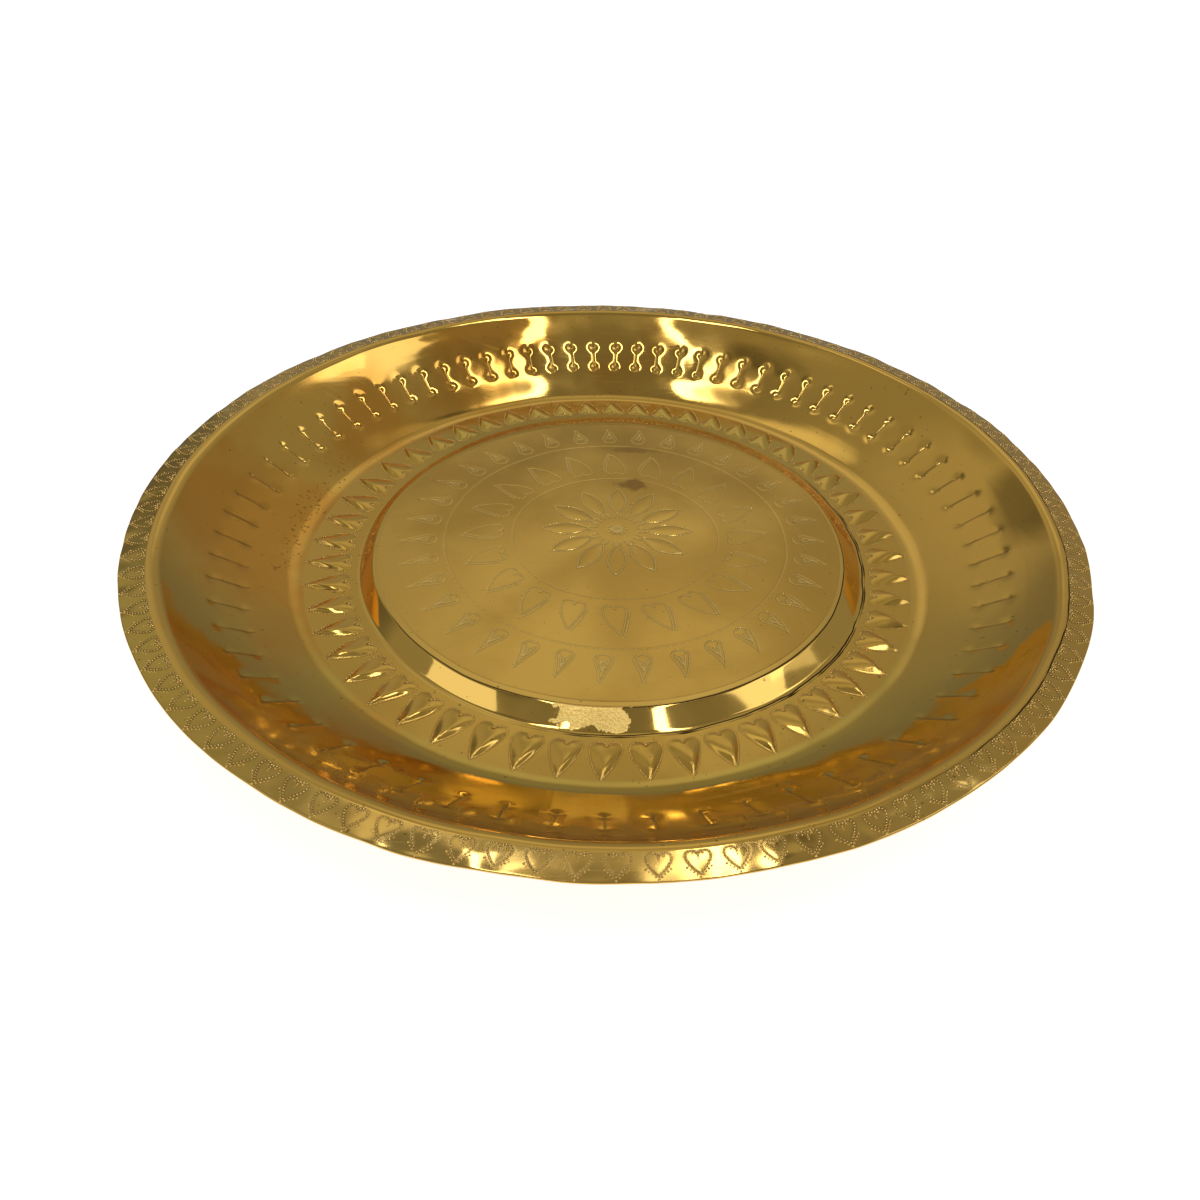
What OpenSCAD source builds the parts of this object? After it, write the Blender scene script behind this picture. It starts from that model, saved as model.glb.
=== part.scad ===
// Beaten brass thali: a round footless plate spun and hammered from one sheet.
// The sheet is drawn as the zones a maker works one after another: raised
// centre disc, its step, flat floor band with pressed hearts, curved wall with
// pressed flutes, rounded lip and drooping flange. Neighbouring zones meet face
// to face on cone-shaped cuts square to the sheet.
// The origin is on the table, under the centre of the plate.

/* [Sheet] */
// Thickness of the brass sheet
sheet_t = 1.2; // [0.8:0.1:1.6]

/* [Raised centre] */
// Diameter of the raised centre at its upper edge
centre_d = 238; // [226:1:280]
// Height of the centre above the floor band
centre_rise = 5.8; // [4.5:0.1:8]
// Slope of the step round the centre, in degrees
step_angle = 28.2; // [24:0.2:40]
// Radius of the step's upper edge
step_top_r = 4; // [2.5:0.1:6]
// Radius of the step's foot
step_foot_r = 5; // [3:0.1:6]

/* [Floor band] */
// Width of the flat floor band between the step and the wall
floor_w = 21.83; // [20:0.01:34]

/* [Wall] */
// Height of the wall from the floor to the start of the lip
wall_h = 36; // [30:0.5:44]
// Radius of the bend between floor and wall
wall_foot_r = 20; // [10:0.5:26]
// Slope of the wall just above that bend, in degrees
wall_foot_angle = 23; // [20:0.5:27]
// Slope of the wall where the lip starts, in degrees
wall_top_angle = 49; // [46:0.5:54]

/* [Rim] */
// Radius of the rounded lip
lip_r = 6; // [4:0.1:8]
// Droop of the flange below level, in degrees
flange_angle = 9; // [4:0.5:14]
// Width of the flange from the lip to the outer edge
flange_w = 11.6; // [10:0.1:16]

/* [Floor hearts] */
// Number of hearts on the floor band
heart_count = 52; // [36:1:56]
// Width of a heart
heart_w = 12.6; // [9:0.1:13]
// Height of the crown of a heart above the floor
heart_rise = 1.6; // [1.3:0.1:2.4]
// Gap between the foot of the step and the lobes of the hearts
heart_foot_gap = 0.8; // [0.5:0.1:2]
// Gap between the tips of the hearts and the wall's bend
heart_tip_gap = 0.5; // [0.3:0.1:2]

/* [Wall flutes] */
// Number of flutes round the wall
flute_count = 72; // [48:1:80]
// Length of a flute along the wall
flute_l = 15.5; // [10:0.5:20]
// Radius of the punch that presses the flutes
flute_r = 2; // [1.4:0.1:2.4]
// Depth of a flute in the wall's face
flute_depth = 0.8; // [0.5:0.05:1]

/* [Engraved centre] */
// Number of petals of the lotus
petal_count = 12; // [8:1:14]
// Distance from the centre to the inner point of a petal
petal_in = 17; // [14:0.5:20]
// Length of a petal
petal_l = 27; // [20:0.5:30]
// Width of a petal
petal_w = 10.4; // [7:0.1:11]
// Number of leaves round the lotus
leaf_count = 20; // [14:1:22]
// Distance from the centre to the inner point of a leaf
leaf_in = 59; // [57:0.5:62]
// Length of a leaf
leaf_l = 17.5; // [12:0.5:20]
// Width of a leaf
leaf_w = 10.5; // [7:0.1:11]
// Number of drops in the outer ring
drop_count = 35; // [24:1:38]
// Distance from the centre to the round end of a drop
drop_in = 91.5; // [91:0.5:95]
// Length of a drop
drop_l = 15; // [11:0.5:16]
// Diameter of the round end of a drop
drop_w = 8; // [6:0.1:9]
// Diameter of the inner scribed circle
inner_circle_d = 106; // [104:0.5:110]
// Diameter of the outer scribed circle
outer_circle_d = 175.2; // [174:0.2:180]
// Width of an engraved line
line_w = 0.8; // [0.5:0.05:1.1]
// Depth of an engraved line
line_depth = 0.3; // [0.15:0.05:0.4]

/* [Rim hearts] */
// Number of hearts punched round the flange
rim_heart_count = 106; // [80:1:110]
// Length of a rim heart from its lobes to its tip
rim_heart_l = 8.4; // [6:0.1:8.8]
// Width of a rim heart
rim_heart_w = 8.2; // [6:0.1:9]
// Gap between the tip of a rim heart and the outer edge
rim_heart_gap = 1.8; // [1:0.1:2]

/* [Hidden] */

// Steps in a drawn arc, and facets of a full turn
arc_steps = 8;
turn_steps = 180;
punch_steps = 24;

// Stock that a cutter overruns a face by
overrun = 0.5;

// Levels and radii of the sheet's upper face
floor_z = sheet_t;
centre_z = floor_z + centre_rise;
step_edge_r = centre_d / 2;
step_foot_edge_r = step_edge_r + centre_rise / tan(step_angle);
step_start_r = step_edge_r - step_top_r * tan(step_angle / 2);
step_end_r = step_foot_edge_r + step_foot_r * tan(step_angle / 2);

// The wall's face is one arc between its two slopes
foot_rise = wall_foot_r * (1 - cos(wall_foot_angle));
foot_run = wall_foot_r * sin(wall_foot_angle);
wall_r = (wall_h - foot_rise) / (cos(wall_foot_angle) - cos(wall_top_angle));
wall_run = wall_r * (sin(wall_top_angle) - sin(wall_foot_angle));
lip_run = lip_r * (sin(wall_top_angle) + sin(flange_angle));
floor_end_r = step_end_r + floor_w;
lip_start_r = floor_end_r + foot_run + wall_run;
lip_end_r = lip_start_r + lip_run;
plate_r = lip_end_r + flange_w * cos(flange_angle);
lip_start_z = floor_z + wall_h;
lip_z = lip_start_z - lip_r * cos(wall_top_angle);

// Centres of the arcs, as [radius, height]
step_top_c = [step_start_r, centre_z - step_top_r];
step_foot_c = [step_end_r, floor_z + step_foot_r];
wall_foot_c = [floor_end_r, floor_z + wall_foot_r];
wall_c = [lip_start_r - wall_r * sin(wall_top_angle), lip_start_z + wall_r * cos(wall_top_angle)];
lip_c = [lip_end_r - lip_r * sin(flange_angle), lip_z];

// Share of a heart's width that the radius of a lobe takes
lobe_share = 0.265;
// Share of a round end's radius at which its straight flank starts
touch_share = 0.97;
// Share of a flute's way up the wall's arc
flute_place_share = 0.5;

// Points along an arc about c, angles from straight up, the positive side outwards
function arc(c, r, from, to) = [
    for (i = [0 : arc_steps])
        let (a = from + (to - from) * i / arc_steps)
        c + r * [sin(a), cos(a)]
];
// The same points, last one first
function turned(points) = [for (i = [len(points) - 1 : -1 : 0]) points[i]];
// A hollow bend has its centre above the sheet, a crowned one below
function hollow_bend(c, r, from, to) = concat(
    arc(c, r, 180 - from, 180 - to),
    turned(arc(c, r + sheet_t, 180 - from, 180 - to))
);
function crowned_bend(c, r, from, to) = concat(
    arc(c, r, from, to),
    turned(arc(c, r - sheet_t, from, to))
);

module spin() {
    rotate_extrude($fn = turn_steps) children();
}

module ring(count) {
    for (i = [0 : count - 1]) rotate(i * 360 / count) children();
}

module brass(shade) {
    color([0.78, 0.62, 0.27] * shade) children();
}

// Each outline below lies along X between radius r and r + l, drawn in by inset
module almond(r, l, w, inset) {
    arc_r = (l * l + w * w) / (4 * w);
    intersection_for(side = [-1, 1]) {
        translate([r + l / 2, side * (arc_r - w / 2)]) circle(r = arc_r - inset, $fn = turn_steps);
    }
}

// Where the straight flank of a rounded end about c, aimed at a tip on the axis, meets it
function touch(c, round_r, tip, inset) =
    let (aim = atan2(-c[1], tip - c[0]))
        let (lean = acos(round_r / norm([tip - c[0], c[1]])))
            c + (round_r - inset) * touch_share * [cos(aim + lean), sin(aim + lean)];
// The tip drawn in, so that the flank stays parallel
function inner_tip(c, round_r, tip, inset) =
    let (aim = atan2(-c[1], tip - c[0]))
        tip - inset / cos(aim + acos(round_r / norm([tip - c[0], c[1]])));

module heart(r, l, w, inset) {
    round_r = w * lobe_share;
    c = [r + round_r, w / 2 - round_r];
    t = touch(c, round_r, r + l, inset);
    for (side = [-1, 1]) translate([c[0], side * c[1]]) circle(r = round_r - inset, $fn = punch_steps);
    polygon([
        [inner_tip(c, round_r, r + l, inset), 0],
        t,
        c,
        [c[0], -c[1]],
        [t[0], -t[1]]
    ]);
}

module drop(r, l, w, inset) {
    c = [r + w / 2, 0];
    t = touch(c, w / 2, r + l, inset);
    translate(c) circle(r = w / 2 - inset, $fn = punch_steps);
    polygon([
        [inner_tip(c, w / 2, r + l, inset), 0],
        t,
        [t[0], -t[1]]
    ]);
}

// Pointed stroke of a rim heart, its tip outwards at radius r + l
module chevron(r, l, w) {
    point_inset = line_w * norm([l, w / 2]) / (w / 2);
    leg_inset = line_w * norm([l, w / 2]) / l;
    polygon([
        [r + l, 0],
        [r, w / 2],
        [r, w / 2 - leg_inset],
        [r + l - point_inset, 0],
        [r, leg_inset - w / 2],
        [r, -w / 2]
    ]);
}

// Line engraved inside an outline, the second child being the same one drawn in
module engraved(count) {
    ring(count) difference() {
        children(0);
        children(1);
    }
}

module scribed_circle(d) {
    translate([d / 2, centre_z]) polygon([
        [-line_w / 2, overrun],
        [-line_w / 2, 0],
        [0, -line_depth],
        [line_w / 2, 0],
        [line_w / 2, overrun]
    ]);
}

module centre_lines() {
    engraved(petal_count) {
        almond(petal_in, petal_l, petal_w, 0);
        almond(petal_in, petal_l, petal_w, line_w);
    }
    engraved(leaf_count) {
        heart(leaf_in, leaf_l, leaf_w, 0);
        heart(leaf_in, leaf_l, leaf_w, line_w);
    }
    engraved(drop_count) {
        drop(drop_in, drop_l, drop_w, 0);
        drop(drop_in, drop_l, drop_w, line_w);
    }
}

module centre_disc() {
    brass(1) difference() {
        translate([0, 0, centre_z - sheet_t]) cylinder(r = step_start_r, h = sheet_t, $fn = turn_steps);
        translate([0, 0, centre_z - line_depth]) linear_extrude(line_depth + overrun) centre_lines();
        spin() scribed_circle(inner_circle_d);
        spin() scribed_circle(outer_circle_d);
    }
}

module centre_step() {
    brass(0.94) spin() polygon(concat(
        arc(step_top_c, step_top_r, 0, step_angle),
        arc(step_foot_c, step_foot_r, 180 + step_angle, 180),
        arc(step_foot_c, step_foot_r + sheet_t, 180, 180 + step_angle),
        arc(step_top_c, step_top_r - sheet_t, step_angle, 0)
    ));
}

// Each heart is a crown pressed up from below, so the sheet keeps its thickness
module heart_crown(rise, inset) {
    lobe_r = step_end_r + heart_foot_gap;
    run = floor_end_r - heart_tip_gap - lobe_r;
    // The crown runs out a little past the hearts at both ends
    crown_in = lobe_r - heart_foot_gap / 2;
    crown_run = run + heart_foot_gap / 2 + heart_tip_gap / 2;
    crown_r = (crown_run * crown_run / 4 + heart_rise * heart_rise) / (2 * heart_rise);
    top_z = floor_z + rise;
    intersection() {
        spin() intersection() {
            translate([crown_in + crown_run / 2, top_z - crown_r]) circle(r = crown_r, $fn = turn_steps * 4);
            translate([crown_in, 0]) square([crown_run, top_z]);
        }
        linear_extrude(top_z + overrun) ring(heart_count) heart(lobe_r, run, heart_w, inset);
    }
}

module well_floor() {
    brass(1) difference() {
        union() {
            spin() translate([step_end_r, 0]) square([floor_end_r - step_end_r, sheet_t]);
            heart_crown(heart_rise, 0);
        }
        translate([0, 0, -overrun]) heart_crown(heart_rise + overrun - sheet_t, sheet_t);
    }
}

// A rounded bar laid along the wall at a flute, its face sunk to the flute's depth
module flute_bar(r) {
    a = wall_foot_angle + (wall_top_angle - wall_foot_angle) * flute_place_share;
    axis_r = wall_r - flute_r + flute_depth;
    half_l = flute_l / 2 - flute_r;
    translate([wall_c[0] + axis_r * sin(a), 0, wall_c[1] - axis_r * cos(a)]) rotate([0, 90 - a, 0]) {
        cylinder(r = r, h = 2 * half_l, center = true, $fn = punch_steps);
        for (s = [-1, 1]) translate([0, 0, s * half_l]) sphere(r = r, $fn = punch_steps);
    }
}

module side_wall() {
    brass(0.9) difference() {
        union() {
            spin() polygon(hollow_bend(wall_foot_c, wall_foot_r, 0, wall_foot_angle));
            spin() polygon(hollow_bend(wall_c, wall_r, wall_foot_angle, wall_top_angle));
        }
        ring(flute_count) flute_bar(flute_r);
    }
}

module rim_lip() {
    brass(1.04) spin() polygon(crowned_bend(lip_c, lip_r, -wall_top_angle, flange_angle));
}

// The flange's section, from its upper face down by t
function flange_strip(t) = [
    lip_c + lip_r * [sin(flange_angle), cos(flange_angle)],
    lip_c + lip_r * [sin(flange_angle), cos(flange_angle)] + flange_w * [cos(flange_angle), -sin(flange_angle)],
    lip_c + (lip_r - t) * [sin(flange_angle), cos(flange_angle)] + flange_w * [cos(flange_angle), -sin(flange_angle)],
    lip_c + (lip_r - t) * [sin(flange_angle), cos(flange_angle)]
];

module rim_flange() {
    lobe_r = plate_r - rim_heart_gap - rim_heart_l;
    brass(0.86) difference() {
        spin() polygon(flange_strip(sheet_t));
        intersection() {
            spin() translate([0, overrun]) polygon(flange_strip(line_depth + overrun));
            linear_extrude(lip_start_z + 2 * lip_r) ring(rim_heart_count) {
                chevron(lobe_r, rim_heart_l, rim_heart_w);
            }
        }
    }
}

centre_disc();
centre_step();
well_floor();
side_wall();
rim_lip();
rim_flange();
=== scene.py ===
import math

import bmesh
import bpy
import numpy as np
from mathutils import Matrix, Vector
from mathutils.geometry import delaunay_2d_cdt


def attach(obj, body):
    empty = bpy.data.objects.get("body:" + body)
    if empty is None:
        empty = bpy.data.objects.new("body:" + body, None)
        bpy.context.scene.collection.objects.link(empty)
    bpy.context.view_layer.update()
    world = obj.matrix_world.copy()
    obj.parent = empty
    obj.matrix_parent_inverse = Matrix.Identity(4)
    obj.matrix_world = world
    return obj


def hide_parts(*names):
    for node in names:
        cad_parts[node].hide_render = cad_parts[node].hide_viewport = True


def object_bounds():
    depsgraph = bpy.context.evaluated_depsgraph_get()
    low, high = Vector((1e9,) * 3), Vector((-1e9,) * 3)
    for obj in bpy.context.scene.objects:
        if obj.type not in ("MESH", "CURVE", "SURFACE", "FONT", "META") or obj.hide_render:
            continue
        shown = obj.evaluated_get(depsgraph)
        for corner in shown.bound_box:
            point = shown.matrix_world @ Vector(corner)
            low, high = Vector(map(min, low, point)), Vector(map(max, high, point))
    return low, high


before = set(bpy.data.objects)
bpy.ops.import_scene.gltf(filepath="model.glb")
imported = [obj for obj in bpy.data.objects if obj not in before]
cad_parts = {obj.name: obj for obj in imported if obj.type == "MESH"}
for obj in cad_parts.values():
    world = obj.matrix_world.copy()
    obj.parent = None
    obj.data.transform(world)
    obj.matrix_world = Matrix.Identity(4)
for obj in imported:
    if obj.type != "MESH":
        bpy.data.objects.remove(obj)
CAD_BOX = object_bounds()

MM = 0.001
# Kinds of face in a worked sector
SHEET, SEAM, SPARE = 0, 1, 2
# Side of the sheet on which a bend has its centre
UNDER, OVER = 1, -1

# Driving sizes of the sheet, as the frame's
PLATE_R = CAD_BOX[1][0]
SHEET_T = 1.2 * MM
CENTRE_D = 238 * MM
CENTRE_RISE = 5.8 * MM
STEP_ANGLE = 28.2
STEP_TOP_R = 4 * MM
STEP_FOOT_R = 5 * MM
WALL_H = 36 * MM
WALL_FOOT_R = 20 * MM
WALL_FOOT_ANGLE = 23
WALL_TOP_ANGLE = 49
LIP_R = 6 * MM
FLANGE_ANGLE = 9
FLANGE_W = 11.6 * MM

# Counts and sizes of the ornament
HEARTS, HEART_L, HEART_W, HEART_RISE = 52, 17.6 * MM, 13.4 * MM, 1.6 * MM
HEART_IN = 134.8 * MM
FLUTES, FLUTE_L, FLUTE_DENT = 72, 18.6 * MM, 0.74 * MM
FLUTE_DISH, FLUTE_DISH_W = 0.12 * MM, 2.2 * MM
FLUTE_CREASE, FLUTE_CREASE_W = 0.26 * MM, 0.7 * MM
# Dents at a flute's ends: distance in from the end, radius, and share of the full depth
UPPER_DENT, LOWER_DENT = (2.4 * MM, 2.8 * MM, 1.0), (2.2 * MM, 2.5 * MM, 0.9)
FLUTE_MIDDLE_R = 186 * MM
# Slopes of the wall between which the flutes lie
FLUTED_ANGLES = 27.6, 43
# Run of a flute across the plate for each unit of its length up the wall
FLUTE_SLOPE_SHARE = 0.81
# Distance from a floor heart's outline to its line of beads, along and across
BEADS_BEYOND, BEADS_BESIDE = 0.5 * MM, 0.7 * MM
# Pitch, radius and height of the beads, and the share by which they differ in size
FLOOR_BEADS, RIM_BEADS = (1.1 * MM, 0.42 * MM, 0.38 * MM), (1.15 * MM, 0.46 * MM, 0.42 * MM)
BEAD_UNEVENNESS = 0.22
PETALS, PETAL_IN, PETAL_L, PETAL_W = 12, 14.5 * MM, 24 * MM, 9.6 * MM
PETAL_RISE, PETAL_FULLNESS = 0.14 * MM, 0.85
LEAVES, LEAF_IN, LEAF_L, LEAF_W, LEAF_LEAN = 20, 58 * MM, 20 * MM, 11.4 * MM, 3.4 * MM
DROPS, DROP_IN, DROP_L, DROP_W = 35, 91.5 * MM, 16.5 * MM, 8 * MM
KERNEL_IN, KERNEL_L, KERNEL_W = 4.6 * MM, 5.5 * MM, 2.8 * MM
INNER_CIRCLE_R, OUTER_CIRCLE_R = 53 * MM, 87.6 * MM
# Where the engraved disc meets the step
PLATEAU_SEAM_R = 116.5 * MM
RIM_HEARTS, RIM_HEART_L, RIM_HEART_W, RIM_HEART_GAP = 106, 9.0 * MM, 8.6 * MM, 2.2 * MM
RIM_HEART_RISE = 0.03 * MM
LINE_W, LINE_DEPTH = 0.84 * MM, 0.3 * MM
DOT_PITCH = 1.24 * MM

# Levels worked out from the driving sizes
FLOOR_Z = SHEET_T
CENTRE_Z = FLOOR_Z + CENTRE_RISE


def sin_of(angle):
    return math.sin(math.radians(angle))


def cos_of(angle):
    return math.cos(math.radians(angle))


def tan_of(angle):
    return math.tan(math.radians(angle))


# The section of the sheet. A row holds a point of the upper face, as radius and height, and
# the way that the face looks there, as its radial and upward shares.
def bend(side, centre, radius, start, end, steps):
    """A bend with its centre UNDER or OVER the sheet, angles from upright and outwards."""
    a = np.radians(np.linspace(start, end, steps + 1))
    x, z = centre
    return np.c_[x + radius * np.sin(a), z + side * radius * np.cos(a), side * np.sin(a), np.cos(a)]


def straight(first, last, steps):
    """The rows between two rows, without either."""
    share = np.linspace(0, 1, steps + 1)[1:-1, None]
    return first + (last - first) * share


def flat(height, first, last, steps):
    r = np.linspace(first, last, steps + 1)
    return np.c_[r, np.full_like(r, height), np.zeros_like(r), np.ones_like(r)]


def sheet_section():
    """All rows from the centre to the rim, and where each zone starts and ends among them."""
    step_edge_r = CENTRE_D / 2
    step_start_r = step_edge_r - STEP_TOP_R * tan_of(STEP_ANGLE / 2)
    step_end_r = step_edge_r + CENTRE_RISE / tan_of(STEP_ANGLE) + STEP_FOOT_R * tan_of(STEP_ANGLE / 2)
    foot_rise = WALL_FOOT_R * (1 - cos_of(WALL_FOOT_ANGLE))
    wall_r = (WALL_H - foot_rise) / (cos_of(WALL_FOOT_ANGLE) - cos_of(WALL_TOP_ANGLE))
    lip_end_r = PLATE_R - FLANGE_W * cos_of(FLANGE_ANGLE)
    lip_start_r = lip_end_r - LIP_R * (sin_of(WALL_TOP_ANGLE) + sin_of(FLANGE_ANGLE))
    lip_start_z = FLOOR_Z + WALL_H
    wall_run = wall_r * (sin_of(WALL_TOP_ANGLE) - sin_of(WALL_FOOT_ANGLE))
    floor_end_r = lip_start_r - wall_run - WALL_FOOT_R * sin_of(WALL_FOOT_ANGLE)
    wall_c = (lip_start_r - wall_r * sin_of(WALL_TOP_ANGLE), lip_start_z + wall_r * cos_of(WALL_TOP_ANGLE))
    lip_c = (lip_end_r - LIP_R * sin_of(FLANGE_ANGLE), lip_start_z - LIP_R * cos_of(WALL_TOP_ANGLE))

    plateau = flat(CENTRE_Z, PLATEAU_SEAM_R - 0.6 * MM, step_start_r - 0.3 * MM, 4)
    edge = bend(UNDER, (step_start_r, CENTRE_Z - STEP_TOP_R), STEP_TOP_R, 0, STEP_ANGLE, 9)
    foot = bend(OVER, (step_end_r, FLOOR_Z + STEP_FOOT_R), STEP_FOOT_R, -STEP_ANGLE, 0, 9)
    floor = flat(FLOOR_Z, step_end_r + 0.35 * MM, floor_end_r - 0.3 * MM, 38)
    wall_foot = bend(OVER, (floor_end_r, FLOOR_Z + WALL_FOOT_R), WALL_FOOT_R, 0, WALL_FOOT_ANGLE, 8)
    wall_low = bend(OVER, wall_c, wall_r, WALL_FOOT_ANGLE, FLUTED_ANGLES[0], 4)
    wall_fluted = bend(OVER, wall_c, wall_r, *FLUTED_ANGLES, 46)
    wall_high = bend(OVER, wall_c, wall_r, FLUTED_ANGLES[1], WALL_TOP_ANGLE, 5)
    lip = bend(UNDER, lip_c, LIP_R, -WALL_TOP_ANGLE, FLANGE_ANGLE, 16)
    outwards = np.array([cos_of(FLANGE_ANGLE), -sin_of(FLANGE_ANGLE), 0, 0])
    flange_end = lip[-1] + outwards * (FLANGE_W - SHEET_T / 2)
    flange = straight(lip[-1], flange_end, 16)
    mid = flange_end[:2] - SHEET_T / 2 * flange_end[2:]
    rounded = bend(UNDER, mid, SHEET_T / 2, FLANGE_ANGLE, FLANGE_ANGLE + 180, 10)
    parts = [plateau, edge, straight(edge[-1], foot[0], 8), foot, floor, wall_foot, wall_low[1:],
             wall_fluted[1:], wall_high[1:], lip[1:], flange, rounded]
    ends = np.cumsum([len(part) for part in parts])
    zones = {
        "centre_step": (1, ends[3] + 1),
        "well_floor": (ends[3] + 1, ends[4]),
        "side_wall": (ends[4], ends[8] - 1),
        "rim_lip": (ends[8] - 1, ends[9] - 1),
        "rim_flange": (ends[9] - 1, ends[11] - 1),
    }
    return np.vstack(parts), zones, ends[10]


SECTION, ZONES, FLANGE_EDGE_ROW = sheet_section()
# Columns of a row of the section
RADIUS, HEIGHT, OUTWARD, UPWARD = range(4)


def at_radius(r, column):
    """What the upper face has at a radius, out to the edge of the flange."""
    return np.interp(r, SECTION[:FLANGE_EDGE_ROW, RADIUS], SECTION[:FLANGE_EDGE_ROW, column])


def zone_rows(name, rounded=False):
    first, last = ZONES[name]
    return SECTION[first - 1:last + (1 if rounded else 2)]


def smooth(value):
    value = np.clip(value, 0, 1)
    return value * value * (3 - 2 * value)


# The hand of the maker: rings drift off the axis, edges wander and faces ripple. The ornament
# drifts as DRIFT says, and the sheet that it is beaten into as BED says.
DRIFT_AT = np.array([0, 40, 52, 100, 112, 118, 131.4, 136, 152, 158, 178, 196, 208, 214, 225]) * MM
DRIFT_X = np.array([5.6, 5.6, 4.7, 4.7, 3.2, 1.4, 2.9, 2.5, 1.3, 1.5, 2.2, 2.2, 1.0, 0.7, 0]) * MM
DRIFT_Y = np.array([9.2, 9.2, 4.9, 4.9, 3.0, -0.2, -3.2, -2.9, -2.0, -1.0, 1.2, 1.0, 0, -1.0, 0]) * MM
BED_X, BED_Y = DRIFT_X.copy(), DRIFT_Y.copy()
BED_X[9:12] = np.array([1.3, 1.3, 1.2]) * MM
BED_Y[10:13] = np.array([-0.6, -0.5, -0.5]) * MM
# How far the rings swell outwards, all round and towards the back alone
SWELL = np.array([0, 0, 0, 0, 0, 0, -4.9, -4.2, -1.2, 0, 0, 0, 0, 0, 0]) * MM
BACK_SWELL = np.array([0, 0, 0, 0, 0, 1.5, 15.0, 13.6, 8.0, 5.0, 0, 0, 0, 0, 0]) * MM
FLUTED_FROM_R, FLUTED_TO_R = 155 * MM, 205 * MM
# Share of a flute's depth at the front and the back, and where the one begins to turn into the
# other and is done, from 0 at the front to 1 at the back
FRONT_DEPTH, BACK_DEPTH, DEEPENING = 0.4, 1.25, (0.25, 0.95)
# Between these radii the drift grows evenly, so that the step keeps one slope
EVEN_START_R, EVEN_END_R = 118 * MM, 152 * MM
# Shares by which the flutes stand closer at the back and wider at the front, and the hearts
# closer at the back, and the radii where each starts, is full, begins to fade and is gone
CROWDING, HEART_CROWDING = 0.15, 0.14
CROWDED_WALL = np.array([153, 173, 197, 208]) * MM
CROWDED_FLOOR = np.array([122, 131, 153, 163]) * MM


def eased(r, values):
    """The value at each radius, straight over the step and floor and with no kink elsewhere."""
    k = np.clip(np.searchsorted(DRIFT_AT, r, side="right") - 1, 0, len(DRIFT_AT) - 2)
    share = (r - DRIFT_AT[k]) / (DRIFT_AT[k + 1] - DRIFT_AT[k])
    even = (r > EVEN_START_R) & (r < EVEN_END_R)
    return values[k] + (values[k + 1] - values[k]) * np.where(even, share, smooth(share))


def rising(r, start, full):
    """0 up to one radius and 1 from the other on."""
    return smooth((r - start) / (full - start))


def within(r, band):
    """1 inside a band of radii and 0 well outside it."""
    return rising(r, *band[:2]) * (1 - rising(r, *band[2:]))


def back_share(points, r):
    """0 at the front of the plate, 1 at its back."""
    return 0.5 + 0.5 * points[:, 1] / np.maximum(r, MM)


def crowded(points):
    """The points with those of the wall and floor drawn round the plate towards the back."""
    r = np.maximum(np.hypot(points[:, 0], points[:, 1]), MM)
    drawn = CROWDING * within(r, CROWDED_WALL)
    drawn += HEART_CROWDING * within(r, CROWDED_FLOOR) * back_share(points, r) ** 3
    turn = drawn * points[:, 0] / r
    x, y = points[:, 0], points[:, 1]
    return np.c_[x * np.cos(turn) - y * np.sin(turn), x * np.sin(turn) + y * np.cos(turn), points[:, 2]]


def deepened(points):
    """The points of the wall with the flutes shallow at the front and deep at the back."""
    r = np.hypot(points[:, 0], points[:, 1])
    up = at_radius(r, UPWARD)
    lift = (points[:, 2] - at_radius(r, HEIGHT)) * up
    own = np.where(lift > 0.02 * MM - SHEET_T, lift, lift + SHEET_T)
    own *= (r > FLUTED_FROM_R) & (r < FLUTED_TO_R)
    share = FRONT_DEPTH + (BACK_DEPTH - FRONT_DEPTH) * rising(back_share(points, r), *DEEPENING)
    return points + np.c_[0 * r, 0 * r, own * (share - 1) / up]


def waves(seed, count, longest, shortest):
    """Sine waves in many directions, as wave vectors and phases."""
    draw = np.random.default_rng(seed)
    way = draw.normal(size=(count, 3))
    way /= np.linalg.norm(way, axis=1)[:, None]
    length = np.exp(draw.uniform(math.log(shortest), math.log(longest), count))
    return way * (2 * math.pi / length)[:, None], draw.uniform(0, 2 * math.pi, count)


def ripple(points, wave):
    vectors, phases = wave
    return np.sin(points @ vectors.T + phases).sum(1) / math.sqrt(len(phases) / 2)


LEVEL_WAVES = waves(11, 18, 110 * MM, 38 * MM)
SIDE_WAVES = waves(12, 18, 90 * MM, 26 * MM)
TURN_WAVES = waves(13, 18, 70 * MM, 22 * MM)
FLANGE_WAVES = waves(14, 22, 48 * MM, 13 * MM)
FINE_WAVES = waves(15, 26, 26 * MM, 8 * MM)
LEVEL_RIPPLE, SIDE_RIPPLE, TURN_RIPPLE, FLANGE_RIPPLE = 0.05 * MM, 0.16 * MM, 0.22 * MM, 0.17 * MM
FINE_RIPPLE, PLATEAU_FINE_SHARE = 0.012 * MM, 0.3
# Lift of the ripples, in their own heights, so that they stay above the plate's lowest point
LEVEL_LIFT, FINE_LIFT = 2.9, 2.5
# How far the rim sinks and draws in, so that its waves stay inside the plate's box, and where
RIM_SINK, RIM_INSET = 0.7 * MM, 0.3 * MM
SINKING, DRAWN_IN = (160 * MM, 200 * MM), (200 * MM, 220 * MM)
# Inside this radius the ripples along the sheet die away
CALM_R = 20 * MM
FLANGE_START_R = PLATE_R - FLANGE_W


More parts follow.
